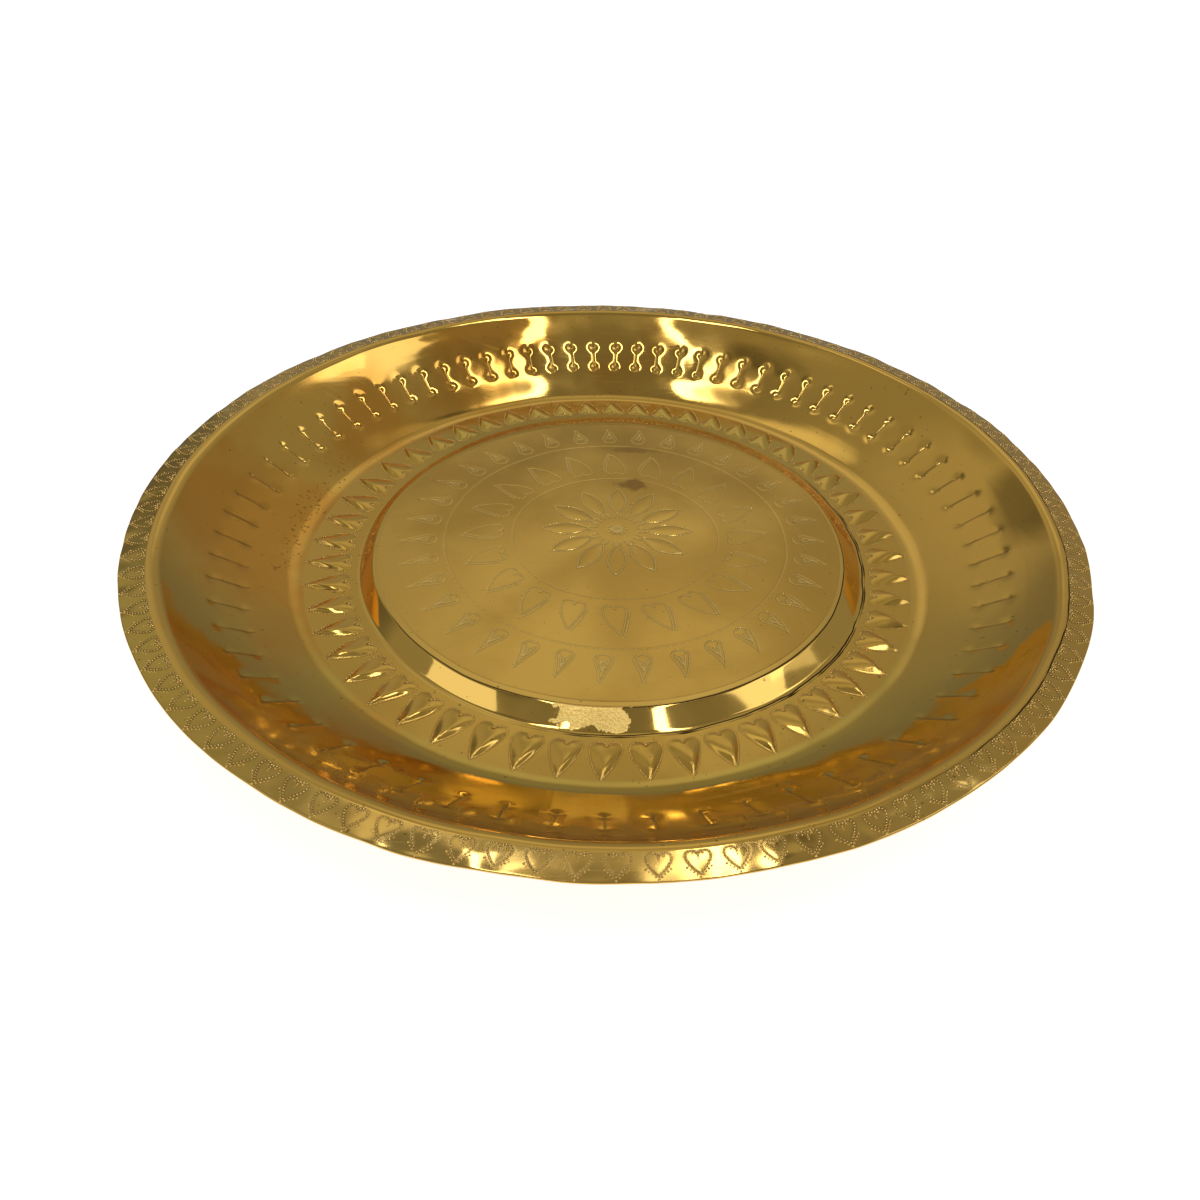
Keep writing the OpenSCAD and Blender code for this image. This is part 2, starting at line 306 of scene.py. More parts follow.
def uneven(points):
    """The points where a hand-made plate has them."""
    points = crowded(deepened(points))
    r = np.hypot(points[:, 0], points[:, 1])
    way = points[:, :2] / np.maximum(r, MM)[:, None]
    swell = eased(r, SWELL) + eased(r, BACK_SWELL) * back_share(points, r) ** 4
    place = points[:, :2] + np.c_[eased(r, DRIFT_X), eased(r, DRIFT_Y)] + way * swell[:, None]
    bed = place - np.c_[eased(r, BED_X), eased(r, BED_Y)]
    bed_r = np.hypot(bed[:, 0], bed[:, 1]) - swell
    side = SIDE_RIPPLE * ripple(points, SIDE_WAVES) * rising(r, 0, CALM_R)
    side -= RIM_INSET * rising(r, *DRAWN_IN)
    turn = TURN_RIPPLE * ripple(points, TURN_WAVES) * rising(r, 0, CALM_R)
    flange = smooth((r - FLANGE_START_R) / FLANGE_W)
    moved = points.copy()
    moved[:, 0] = place[:, 0] + way[:, 0] * side - way[:, 1] * turn
    moved[:, 1] = place[:, 1] + way[:, 1] * side + way[:, 0] * turn
    moved[:, 2] += at_radius(bed_r, HEIGHT) - at_radius(r, HEIGHT)
    moved[:, 2] += LEVEL_RIPPLE * (ripple(points, LEVEL_WAVES) + LEVEL_LIFT)
    moved[:, 2] += FLANGE_RIPPLE * ripple(points, FLANGE_WAVES) * flange
    moved[:, 2] -= RIM_SINK * rising(r, *SINKING)
    fine = PLATEAU_FINE_SHARE + (1 - PLATEAU_FINE_SHARE) * smooth((r - EVEN_START_R) / (3 * MM))
    moved[:, 2] += FINE_RIPPLE * fine * (ripple(points, FINE_WAVES) + FINE_LIFT)
    return moved


def polar(r, a):
    return np.c_[r * np.cos(a), r * np.sin(a)]


# Outlines of the punched and engraved ornament, x outwards from the plate's centre
def heart_side(length, width, lobe_share=0.253, bulge=0.06, steps=12):
    """One side of a heart, from its notch round the lobe and down the flank to its tip."""
    lobe = width * lobe_share
    c = np.array([lobe, width / 2 - lobe])
    start = -math.asin(min(c[1] / lobe, 1))
    reach = math.hypot(length - c[0], c[1])
    end = math.atan2(-c[1], length - c[0]) + math.acos(lobe / reach)
    a = np.linspace(2 * math.pi - (math.pi + start), end, steps)
    round_part = c + polar(lobe, a)
    tip = np.array([length, 0])
    share = np.linspace(0, 1, steps)[1:, None]
    flank = round_part[-1] + (tip - round_part[-1]) * share
    flank[:, 1] += (bulge * width * 4 * share * (1 - share))[:, 0]
    return np.vstack([round_part, flank])


def mirrored(points):
    return points * [1, -1]


def both_sides(path):
    return [path, mirrored(path)]


def dash(start, end, side=0.0):
    """A short straight line outwards."""
    return np.array([[start, side], [end, side]])


def drop_side(length, width, steps=12):
    """One side of a drop with its tip outwards."""
    lobe = width / 2
    c = np.array([lobe, 0])
    end = math.acos(lobe / (length - lobe))
    a = np.linspace(math.pi, end, steps)
    round_part = c + polar(lobe, a)
    share = np.linspace(0, 1, steps)[1:, None]
    return np.vstack([round_part, round_part[-1] + (np.array([length, 0]) - round_part[-1]) * share])


def almond_side(length, width, steps=16):
    share = np.linspace(0, 1, steps)
    return np.c_[length * share, width / 2 * np.sin(math.pi * share) ** PETAL_FULLNESS]


def run_along(path):
    """The distance along a line to each of its points."""
    return np.r_[0, np.cumsum(np.linalg.norm(np.diff(path, axis=0), axis=1))]


def resampled(path, pitch):
    """Points at about one pitch along an open line."""
    way = run_along(path)
    at = np.linspace(0, way[-1], max(2, int(round(way[-1] / pitch)) + 1))
    return np.c_[np.interp(at, way, path[:, 0]), np.interp(at, way, path[:, 1])]


# Relief of the pressed ornament, over the plain section
HEART_EDGE = heart_side(HEART_L, HEART_W)
HEART_BEAD_LINE = heart_side(HEART_L + BEADS_BEYOND, HEART_W + BEADS_BESIDE)
# Share of a heart's half width by which its ridge leans to one side
HEART_LEAN = 0.42


def half_widths(edge, along):
    """How far to the side a heart's outline and its notch lie."""
    low = np.argmin(edge[:, 0])
    outer = np.interp(along, edge[low:, 0], edge[low:, 1], left=0, right=0)
    inner = np.interp(along, edge[:low + 1, 0][::-1], edge[:low + 1, 1][::-1], left=0, right=0)
    return outer, inner


def heart_relief(across, r):
    """Height of a floor heart: a pillow with two lobes, highest towards its tip.

    Its crown rises from 0.3 of the full height at the notch and sinks to 0.45 of it at the tip.
    Its sides are round at the notch and straighter at the tip.
    """
    along = r - HEART_IN
    outer, inner = half_widths(HEART_EDGE, along)
    share = np.clip(along / HEART_L, 0, 1)
    crown = HEART_RISE * (0.3 + 0.7 * smooth(share / 0.62)) * (1 - 0.55 * smooth((share - 0.7) / 0.3))
    fullness = 2.2 - 0.7 * smooth(share)
    ridge = HEART_LEAN * outer * smooth(share / 0.5)
    reach = np.where(across > ridge, outer - ridge, outer + ridge)
    spread = np.abs(across - ridge) / np.maximum(reach, 0.05 * MM)
    height = crown * np.clip(1 - spread ** fullness, 0, 1) * (outer > 0)
    height *= smooth((np.abs(across) - inner) / (0.8 * MM) + (inner <= 0))
    height *= smooth(along / (2.2 * MM)) * 0.5 + 0.5
    return height


WALL_ROWS = zone_rows("side_wall")
WALL_WAY = run_along(WALL_ROWS[:, :2])


def up_the_wall(r):
    """The distance up the face of the wall to a radius."""
    return np.interp(r, WALL_ROWS[:, RADIUS], WALL_WAY)


def flute_relief(across, r):
    """Depth of a flute: a crease down the middle of a soft dish, with a dent at each end."""
    along = up_the_wall(r) - up_the_wall(FLUTE_MIDDLE_R)
    reach = np.abs(along) - FLUTE_L / 2
    dish = FLUTE_DISH * np.exp(-(across / FLUTE_DISH_W) ** 2) * (1 - smooth(reach / (6 * MM) + 0.6))
    crease = FLUTE_CREASE * np.clip(1 - np.abs(across) / FLUTE_CREASE_W, 0, 1)
    depth = dish + crease * (1 - smooth(reach / (1.4 * MM) + 0.9))
    for end, (inset, radius, share) in ((1, UPPER_DENT), (-1, LOWER_DENT)):
        gap = np.hypot(end * along - FLUTE_L / 2 + inset, across) / radius
        depth = depth + FLUTE_DENT * share * np.exp(-gap ** 2)
    return -depth


RIM_HEART_EDGE = heart_side(RIM_HEART_L, RIM_HEART_W)
RIM_HEART_IN = PLATE_R - RIM_HEART_GAP - RIM_HEART_L


def rim_heart_relief(across, r):
    """The slight swelling inside a rim heart."""
    outer = half_widths(RIM_HEART_EDGE, r - RIM_HEART_IN)[0]
    spread = np.abs(across) / np.maximum(outer, 0.05 * MM)
    return RIM_HEART_RISE * np.clip(1 - spread ** 2, 0, 1) * (outer > 0)


# Painted shade along outlines and creases, as a share from 0 to 1 at each point of a ring of ornament
def folded(points, count):
    """Distance across from the middle of the nearest copy, and radius."""
    r = np.hypot(points[:, 0], points[:, 1])
    pitch = 2 * math.pi / count
    turn = np.arctan2(points[:, 1], points[:, 0])
    return r * (turn - pitch * np.round(turn / pitch)), r


def beside_outline(across, along, edge, width):
    """1 on the outline of an ornament, fading to 0 at a width from it."""
    side = resampled(edge, width / 2)
    gap = np.full(len(across), 1.0)
    for x, y in side:
        gap = np.minimum(gap, np.hypot(along - x, np.abs(across) - y))
    return np.clip(1.4 - gap / width, 0, 1)


def heart_line_shade(points):
    across, r = folded(points, HEARTS)
    return beside_outline(across, r - HEART_IN, HEART_BEAD_LINE, 0.45 * MM)


def rim_heart_line_shade(points):
    across, r = folded(points, RIM_HEARTS)
    return beside_outline(across, r - RIM_HEART_IN, RIM_HEART_EDGE, 0.6 * MM)


def flute_line_shade(points):
    across, r = folded(points, FLUTES)
    reach = np.abs(r - FLUTE_MIDDLE_R) - FLUTE_L / 2 * FLUTE_SLOPE_SHARE
    return np.clip(1.3 - np.abs(across) / (0.6 * MM), 0, 1) * np.clip(1 - reach / MM, 0, 1)


# Sectors: the piece of a ring that is worked once and then set round the plate
def sector(count, rows, shares, under, relief=None, open_end=True):
    """Points, faces and kinds of face of one of count equal sectors of a ring.

    Its under face has the given rows and columns of the upper one. The first row of faces is
    spare, and the last one too at an open end, where the next zone goes on.
    """
    turn = math.pi / count * np.asarray(shares)
    lift = np.zeros((len(rows), len(turn)))
    if relief:
        lift[2:-2] = relief(rows[2:-2, :1] * turn, rows[2:-2, :1])
    under_rows, under_turns = under

    def placed(row_ids, turn_ids, drop):
        row = rows[row_ids][:, None]
        up = lift[np.ix_(row_ids, turn_ids)] - drop
        r = row[..., RADIUS] + row[..., OUTWARD] * up
        z = row[..., HEIGHT] + row[..., UPWARD] * up
        a = turn[turn_ids]
        return np.stack([r * np.cos(a), r * np.sin(a), z], -1).reshape(-1, 3)

    upper = placed(np.arange(len(rows)), np.arange(len(turn)), 0)
    lower = placed(under_rows, under_turns, SHEET_T)
    faces, kinds = [], []
    for height, width, base, turned in ((len(rows), len(turn), 0, False),
                                        (len(under_rows), len(under_turns), len(upper), True)):
        for i in range(height - 1):
            spare = i == 0 or (open_end and i == height - 2)
            for a in range(base + i * width, base + (i + 1) * width - 1):
                quad = (a, a + width, a + width + 1, a + 1)
                faces.append(quad[::-1] if turned else quad)
                kinds.append(SPARE if spare else SHEET)
    seams = [(1, 1, False)]
    if open_end:
        seams.append((len(rows) - 2, len(under_rows) - 2, True))
    for upper_row, lower_row, turned in seams:
        for j in range(len(under_turns) - 1):
            top = [upper_row * len(turn) + k for k in range(under_turns[j], under_turns[j + 1] + 1)]
            low = len(upper) + lower_row * len(under_turns) + j
            ring = top + [low + 1, low]
            faces.append(tuple(ring[::-1] if turned else ring))
            kinds.append(SEAM)
    return np.vstack([upper, lower]), faces, kinds


def coarse(count, step):
    """Every step-th index below count, with both seams and the spare rows beyond them kept."""
    last = count - 2
    return np.array([0] + sorted({*range(1, last + 1, step), last}) + [last + 1])


# Geometry node trees
def open_socket(made, name):
    return next(s for s in made.inputs if s.enabled and s.name == name)


def filled(tree, made, inputs):
    """A node with its inputs filled or linked, each by name or by place."""
    for key, value in inputs.items():
        socket = made.inputs[key] if isinstance(key, int) else open_socket(made, key)
        if isinstance(value, bpy.types.NodeSocket):
            tree.links.new(value, socket)
        else:
            socket.default_value = value
    return made


def node(tree, kind, inputs=None, **settings):
    made = tree.nodes.new(kind)
    for key, value in settings.items():
        setattr(made, key, value)
    return filled(tree, made, inputs or {})


def new_tree(name, kind, inputs, outputs):
    """A node tree with its sockets, each a label and a kind of value, and what it is given."""
    tree = bpy.data.node_groups.new(name, kind + "NodeTree")
    for side, sockets in (("INPUT", inputs), ("OUTPUT", outputs)):
        for label, form in sockets.items():
            tree.interface.new_socket(label, in_out=side, socket_type="NodeSocket" + form)
    return tree, tree.nodes.new("NodeGroupInput").outputs


def put_out(tree, **values):
    node(tree, "NodeGroupOutput", values)
    return tree


def math_of(tree, operation, first, second=0.0, **settings):
    return node(tree, "ShaderNodeMath", {0: first, 1: second}, operation=operation, **settings).outputs[0]


def times(tree, first, second, **settings):
    return math_of(tree, "MULTIPLY", first, second, **settings)


def plus(tree, first, second, **settings):
    return math_of(tree, "ADD", first, second, **settings)


def minus(tree, first, second, **settings):
    return math_of(tree, "SUBTRACT", first, second, **settings)


def vector_of(tree, operation, first, second=(0, 0, 0)):
    """The number that a length or dot product gives, or else the vector."""
    made = node(tree, "ShaderNodeVectorMath", {0: first, 1: second}, operation=operation)
    return made.outputs["Value" if operation in ("LENGTH", "DOT_PRODUCT") else "Vector"]


def around(tree, given, geometry):
    """Sets copies of one sector side by side round the plate's axis."""
    points = node(tree, "GeometryNodePoints", {"Count": given["Count"]})
    index = node(tree, "GeometryNodeInputIndex")
    turns = math_of(tree, "DIVIDE", index.outputs[0], given["Count"])
    euler = node(tree, "ShaderNodeCombineXYZ", {"Z": times(tree, turns, 2 * math.pi)})
    turned = node(tree, "FunctionNodeEulerToRotation", {0: euler.outputs[0]})
    return node(tree, "GeometryNodeInstanceOnPoints", {
        "Points": points.outputs[0], "Instance": geometry, "Rotation": turned.outputs[0]})


def finished_with(tree, given, instances, weld):
    """Real geometry with its material, which is what leaves a tree."""
    real = node(tree, "GeometryNodeRealizeInstances", {"Geometry": instances.outputs[0]})
    if weld:
        real = node(tree, "GeometryNodeMergeByDistance", {
            "Geometry": real.outputs[0], "Distance": given["Weld distance"]})
    painted = node(tree, "GeometryNodeSetMaterial", {
        "Geometry": real.outputs[0], "Material": given["Material"]})
    return put_out(tree, Geometry=painted.outputs[0])


def sector_ring_tree():
    tree, given = new_tree("Ring of sectors", "Geometry", {
        "Geometry": "Geometry", "Count": "Int", "Weld distance": "Float", "Material": "Material"},
        {"Geometry": "Geometry"})
    return finished_with(tree, given, around(tree, given, given["Geometry"]), True)


def beading_tree():
    """Beads punched along the lines of one sector, then set round the plate."""
    tree, given = new_tree("Ring of beading", "Geometry", {
        "Geometry": "Geometry", "Count": "Int", "Pitch": "Float", "Bead radius": "Float",
        "Bead height": "Float", "Unevenness": "Float", "Seed": "Int", "Material": "Material"},
        {"Geometry": "Geometry"})
    line = node(tree, "GeometryNodeMeshToCurve", {"Mesh": given["Geometry"]})
    spaced = node(tree, "GeometryNodeResampleCurve", {"Curve": line.outputs[0], "Length": given["Pitch"]},
                  mode="LENGTH")
    ball = node(tree, "GeometryNodeMeshIcoSphere", {"Radius": 1.0, "Subdivisions": 1})
    round_bead = node(tree, "GeometryNodeSetShadeSmooth", {"Geometry": ball.outputs[0]})
    facing = node(tree, "GeometryNodeInputNamedAttribute", {"Name": "facing"}, data_type="FLOAT_VECTOR")
    upright = node(tree, "FunctionNodeAlignRotationToVector", {"Vector": facing.outputs[0]}, axis="Z")
    chance = node(tree, "FunctionNodeRandomValue", {
        "Min": minus(tree, 1.0, given["Unevenness"]), "Max": plus(tree, 1.0, given["Unevenness"]),
        "Seed": given["Seed"]}, data_type="FLOAT")
    shape = node(tree, "ShaderNodeCombineXYZ", {
        "X": given["Bead radius"], "Y": given["Bead radius"], "Z": given["Bead height"]})
    size = node(tree, "ShaderNodeVectorMath", {0: shape.outputs[0]}, operation="SCALE")
    tree.links.new(chance.outputs[1], size.inputs["Scale"])
    beads = node(tree, "GeometryNodeInstanceOnPoints", {
        "Points": spaced.outputs[0], "Instance": round_bead.outputs[0],
        "Rotation": upright.outputs[0], "Scale": size.outputs[0]})
    return finished_with(tree, given, around(tree, given, beads.outputs[0]), False)


def shown(name, data):
    """An object of its own in the scene."""
    made = bpy.data.objects.new(name, data)
    bpy.context.scene.collection.objects.link(made)
    return made


def through_tree(mesh, tree, values):
    """The plain mesh that a tree makes of a mesh."""
    piece = shown(mesh.name, mesh)
    modifier = piece.modifiers.new("Work", "NODES")
    modifier.node_group = tree
    for item in tree.interface.items_tree:
        if item.in_out == "INPUT" and item.name in values:
            modifier[item.identifier] = values[item.name]
    ready = piece.evaluated_get(bpy.context.evaluated_depsgraph_get())
    result = bpy.data.meshes.new_from_object(ready)
    bpy.data.objects.remove(piece)
    return result


def mesh_of(name, points, faces, kinds=None, cut=None):
    mesh = bpy.data.meshes.new(name)
    mesh.from_pydata([tuple(p) for p in points], [], [tuple(int(v) for v in f) for f in faces])
    if kinds is not None:
        mark = mesh.attributes.new("kind", "INT", "FACE")
        mark.data.foreach_set("value", np.asarray(kinds, dtype=np.int32))
        marked(mesh, "cut", np.zeros(len(points)) if cut is None else cut)
    return mesh


def marked(mesh, name, values):
    """Keeps a number with each point, for a material to read."""
    mark = mesh.attributes.new(name, "FLOAT", "POINT")
    mark.data.foreach_set("value", np.asarray(values, dtype=np.float32))


# Points closer than this are one point
WELD = 0.004 * MM
SECTOR_RING = sector_ring_tree()
BEADING = beading_tree()


def ring_of(name, count, part, material):
    values = {"Count": count, "Weld distance": WELD, "Material": material}
    return through_tree(mesh_of(name, *part), SECTOR_RING, values)


def read(items, key, width=1, kind=float):
    """What each vertex, corner, face or mark holds under a key, as one array."""
    values = np.empty(len(items) * width, dtype=kind)
    items.foreach_get(key, values)
    return values


def points_of(mesh):
    return read(mesh.vertices, "co", 3).reshape(-1, 3)


def arrays_of(mesh):
    """Corner vertices, each face's first corner, corner count and kind, and each point's cut."""
    corners = read(mesh.loops, "vertex_index", kind=np.int32)
    starts = read(mesh.polygons, "loop_start", kind=np.int32)
    totals = read(mesh.polygons, "loop_total", kind=np.int32)
    kinds = read(mesh.attributes["kind"].data, "value", kind=np.int32)
    cut = read(mesh.attributes["cut"].data, "value", kind=np.float32)
    return corners, starts, totals, kinds, cut


def joined(name, meshes):
    """One mesh of several whose edges meet."""
    if len(meshes) == 1:
        return meshes[0]
    build = bmesh.new()
    for mesh in meshes:
        build.from_mesh(mesh)
    bmesh.ops.remove_doubles(build, verts=build.verts, dist=WELD)
    whole = bpy.data.meshes.new(name)
    build.to_mesh(whole)
    build.free()
    return whole


def worked_sheet(name, meshes, material, line_shade=None):
    """A zone of the sheet, uneven as by hand, whose shading runs on across its seams."""
    whole = joined(name, meshes)
    points = points_of(whole)
    corners, starts, totals, kinds, cut = arrays_of(whole)
    ring = np.hypot(points[:, 0], points[:, 1])
    # Painted shade along the ornament's outlines and creases, kept with each point
    line_shaded = np.zeros(len(points)) if line_shade is None else line_shade(points)
    points = uneven(points)
    face_of = np.repeat(np.arange(len(starts)), totals)
    following = np.arange(len(corners)) + 1
    following[starts + totals - 1] = starts
    spans = np.cross(points[corners], points[corners[following]])
    area = np.zeros((len(starts), 3))
    np.add.at(area, face_of, spans)
    sheet = kinds[face_of] != SEAM
    facing = np.zeros_like(points)
    np.add.at(facing, corners[sheet], area[face_of[sheet]])
    facing /= np.maximum(np.linalg.norm(facing, axis=1), 1e-12)[:, None]
    area /= np.maximum(np.linalg.norm(area, axis=1), 1e-20)[:, None]
    kept = np.flatnonzero(kinds != SPARE)
    used = np.zeros(len(points), dtype=bool)
    used[corners[kinds[face_of] != SPARE]] = True
    new_id = np.cumsum(used) - 1
    faces = [new_id[corners[starts[f]:starts[f] + totals[f]]] for f in kept]
    mesh = mesh_of(name, points[used], faces)
    mesh.shade_smooth()
    normals = np.where(sheet[:, None], facing[corners], area[face_of])[kinds[face_of] != SPARE]
    mesh.normals_split_custom_set([tuple(n) for n in normals])
    for label, values in (("cut", cut), ("ring", ring), ("line_shade", line_shaded)):
        marked(mesh, label, values[used])
    mesh.materials.append(material)
    return shown(name, mesh)


def worked_ring(name, count, part, material, line_shade=None):
    """A zone of the sheet that is one ring of sectors."""
    return worked_sheet(name, [ring_of(name, count, part, material)], material, line_shade)


def kept_as(piece, slot, *nodes):
    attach(piece, "root")
    if nodes:
        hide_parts(*nodes)
    return piece


# Engraved sectors of the raised centre, meshed along their strokes, with points no closer
# than this, and with circles that are cut to this share of the depth of a stroke
POINTS_APART = 0.3 * MM
CIRCLE_CUT = 0.3
# Distance between the points along a stroke and along a sector's straight borders
STROKE_PITCH, BORDER_PITCH = 0.62 * MM, 2.4 * MM


def stroke_depth(points, strokes, dotted):
    """Share of the full depth of cut at each point, beaten in dots along a dotted stroke."""
    best = np.zeros(len(points))
    for path in strokes:
        a, b = path[:-1], path[1:]
        run = b - a
        length = np.linalg.norm(run, axis=1)
        start = np.r_[0, np.cumsum(length)][:-1]
        t = ((points[:, None] - a[None]) * run[None]).sum(-1) / np.maximum(length ** 2, 1e-15)
        t = np.clip(t, 0, 1)
        gap = np.linalg.norm(points[:, None] - a[None] - t[..., None] * run[None], axis=2)
        nearest = gap.argmin(1)
        rows = np.arange(len(points))
        along = start[nearest] + t[rows, nearest] * length[nearest]
        depth = np.clip(1 - gap[rows, nearest] / (LINE_W / 2), 0, 1)
        if dotted:
            depth *= 0.65 + 0.35 * np.cos(2 * math.pi * along / DOT_PITCH)
        best = np.maximum(best, depth)
    return best


def beside(path, offset):
    """The line that runs beside a path at an offset."""
    way = np.gradient(path, axis=0)
    way /= np.maximum(np.linalg.norm(way, axis=1), 1e-12)[:, None]
    return path + offset * np.c_[-way[:, 1], way[:, 0]]


def engraved_sector(count, inner_r, outer_r, arc_steps, strokes, spacing, dotted=True, relief=None):
    """One sector of the centre between two circles, cut with strokes, as a worked sector."""
    half = math.pi / count
    groove = LINE_W / 2
    circles = [(r, side, steps) for r, side, steps in zip((inner_r, outer_r), (1, -1), arc_steps) if r > 0]
    radii = [inner_r, outer_r] + [r + side * k * groove for r, side, steps in circles for k in (1, 2)]
    radii += list(np.arange(inner_r + 3 * MM, outer_r - 2 * MM, BORDER_PITCH))
    radii = np.unique(np.round(radii, 7))
    arcs = [polar(r, np.linspace(-half, half, steps + 1)) for r, side, steps in circles]
    loop = np.vstack([arcs[-1], polar(radii, half)[::-1][1:], *[arc[::-1][1:] for arc in arcs[:-1]],
                      polar(radii, -half)[1:-1]])

    inside = []
    for path in strokes:
        fine = resampled(path, STROKE_PITCH)
        inside += [beside(fine, share * groove) for share in (0, -1, 1, -1.9, 1.9)]
    across = np.linspace(-half, half, max(arc_steps) + 1)[1:-1]
    inside += [polar(r + side * k * groove, across) for r, side, steps in circles for k in (1, 2)]
    inside.append(grid_in(max(inner_r, 2 * MM), outer_r, half, spacing))
    candidates = np.vstack(inside)
    r = np.linalg.norm(candidates, axis=1)
    angle = np.arctan2(candidates[:, 1], candidates[:, 0])
    clear = (r > inner_r + POINTS_APART) & (r < outer_r - POINTS_APART)
    clear &= (half - np.abs(angle)) * r > 0.45 * MM
    cells, chosen = {}, []

    def cell_of(point):
        return int(point[0] // POINTS_APART), int(point[1] // POINTS_APART)

    def keep(point):
        chosen.append(point)
        cells.setdefault(cell_of(point), []).append(point)

    def is_free(point):
        x, y = cell_of(point)
        near = [other for i in (-1, 0, 1) for j in (-1, 0, 1) for other in cells.get((x + i, y + j), ())]
        return all(np.hypot(*(other - point)) >= POINTS_APART for other in near)

    for point in loop:
        keep(point)
    for point in candidates[clear]:
        if is_free(point):
            keep(point)
    ring = [(i, (i + 1) % len(loop)) for i in range(len(loop))]
    made = delaunay_2d_cdt([Vector(p) for p in chosen], ring, [list(range(len(loop)))], 1, 1e-9)
    flat_points = np.array([tuple(p) for p in made[0]])
    cut = stroke_depth(flat_points, strokes, dotted)
    cut = np.maximum(cut, CIRCLE_CUT * stroke_depth(flat_points, arcs, False))
    height = CENTRE_Z - LINE_DEPTH * cut
    if relief:
        height += relief(flat_points)
    faces = [tuple(f) for f in made[2]]
    for k, face in enumerate(faces):
        corner = flat_points[list(face)[:3]]
        if np.cross(corner[1] - corner[0], corner[2] - corner[0]) < 0:
            faces[k] = face[::-1]
    return np.c_[flat_points, height], faces, [SHEET] * len(faces), cut


def grid_in(inner_r, outer_r, half, step):
    """Loose points that fill a sector."""
    rows = []
    for k, r in enumerate(np.arange(inner_r + step, outer_r - step / 2, step)):
        n = max(1, int(2 * half * r / step))
        a = (np.arange(n) + 0.5 + 0.25 * (k % 2)) / n * 2 * half - half
        rows.append(polar(r, a))
    return np.vstack(rows)


def leaning(points, length, lean):
    """The outline with its tip bent to one side."""
    share = np.clip(points[:, 0] / length, 0, 1)
    return points + np.c_[0 * share, lean * share ** 2]


def petal_strokes():
    side = almond_side(PETAL_L, PETAL_W) + [PETAL_IN, 0]
    quarter = math.pi / PETALS / 2
    between = [polar(np.array([11.2, 13.6]) * MM, a) for a in (-quarter, quarter)]
    return both_sides(side) + [dash(1.4 * MM, 4.0 * MM)] + between


def petal_relief(points):
    share = (points[:, 0] - PETAL_IN) / PETAL_L
    width = PETAL_W / 2 * np.sin(math.pi * np.clip(share, 0, 1)) ** PETAL_FULLNESS
    spread = np.abs(points[:, 1]) / np.maximum(width, 0.1 * MM)
    return PETAL_RISE * np.clip(1 - spread ** 2, 0, 1) * (width > 0.1 * MM)


def leaf_strokes():
    edge = heart_side(LEAF_L, LEAF_W, bulge=0.1)
    side = leaning(edge, LEAF_L, LEAF_LEAN) + [LEAF_IN, 0]
    other = leaning(mirrored(edge), LEAF_L, LEAF_LEAN) + [LEAF_IN, 0]
    second = beside(side[len(side) // 2:], 1.5 * MM)
    return [side, other, second]


def drop_strokes():
    side = drop_side(DROP_L, DROP_W) + [DROP_IN, 0]
    kernel = drop_side(KERNEL_L, KERNEL_W) + [DROP_IN + KERNEL_IN, 0]
    filling = dash(DROP_IN + 5.2 * MM, DROP_IN + 9.2 * MM)
    outer = beside(side[len(side) // 2 - 2:-5], -1.7 * MM)
    return both_sides(side) + both_sides(kernel) + [filling] + both_sides(outer)


def under_face(columns=12):
    """One sector of the plain face under the engraving, with the seam round it."""
    turn = math.pi / DROPS * np.linspace(-1, 1, columns + 1)
    radii = np.r_[0, np.linspace(12 * MM, PLATEAU_SEAM_R, 14)]
    points = [(r * math.cos(a), r * math.sin(a), CENTRE_Z - SHEET_T) for r in radii for a in turn]
    rim = [(PLATEAU_SEAM_R * math.cos(a), PLATEAU_SEAM_R * math.sin(a), CENTRE_Z) for a in turn]
    wide, high, low = len(turn), len(points), len(points) - len(turn)
    faces = []
    for k in range(low):
        if k % wide < columns:
            faces.append((k, k + 1, k + wide + 1, k + wide) if k >= wide else (k, k + wide + 1, k + wide))
    kinds = [SHEET] * len(faces) + [SEAM] * columns
    faces += [(high + j + 1, high + j, low + j, low + j + 1) for j in range(columns)]
    return points + rim, faces, kinds


def raised_centre(material):
    """The engraved disc: three rings of ornament in a plain field, and its under face."""
    petals = engraved_sector(PETALS, 0, INNER_CIRCLE_R, (0, 15), petal_strokes(), 1.7 * MM,
                             False, petal_relief)
    leaves = engraved_sector(LEAVES, INNER_CIRCLE_R, OUTER_CIRCLE_R, (9, 14), leaf_strokes(), 2.1 * MM)
    drops = engraved_sector(DROPS, OUTER_CIRCLE_R, PLATEAU_SEAM_R, (8, 12), drop_strokes(), 2.0 * MM)
    rings = (("petals", PETALS, petals), ("leaves", LEAVES, leaves), ("drops", DROPS, drops),
             ("under_face", DROPS, under_face()))
    return worked_sheet("engraved_centre", [ring_of(*ring, material) for ring in rings], material)


def plain_ring(name, zone, count, columns, material):
    rows = zone_rows(zone)
    under = coarse(len(rows), 2), np.arange(columns + 1)
    return worked_ring(name, count, sector(count, rows, np.linspace(-1, 1, columns + 1), under), material)


def heart_floor(material):
    rows = zone_rows("well_floor")
    under = coarse(len(rows), 2), np.arange(0, 33, 2)
    part = sector(HEARTS, rows, np.linspace(-1, 1, 33), under, heart_relief)
    return worked_ring("heart_floor", HEARTS, part, material, heart_line_shade)


def fluted_wall(material):
    share = np.linspace(-1, 1, 17)
    share = 0.22 * share + 0.78 * share ** 3
    under = coarse(len(WALL_ROWS), 3), np.arange(0, 17, 2)
    part = sector(FLUTES, WALL_ROWS, share, under, flute_relief)
    return worked_ring("fluted_wall", FLUTES, part, material, flute_line_shade)


def heart_rim(material):
    edge = FLANGE_EDGE_ROW - (ZONES["rim_flange"][0] - 1)
    part = sector(RIM_HEARTS, zone_rows("rim_flange", rounded=True), np.linspace(-1, 1, 17),
                  (np.arange(0, edge + 1), np.arange(17)), rim_heart_relief, open_end=False)
    return worked_ring("heart_rim", RIM_HEARTS, part, material, rim_heart_line_shade)


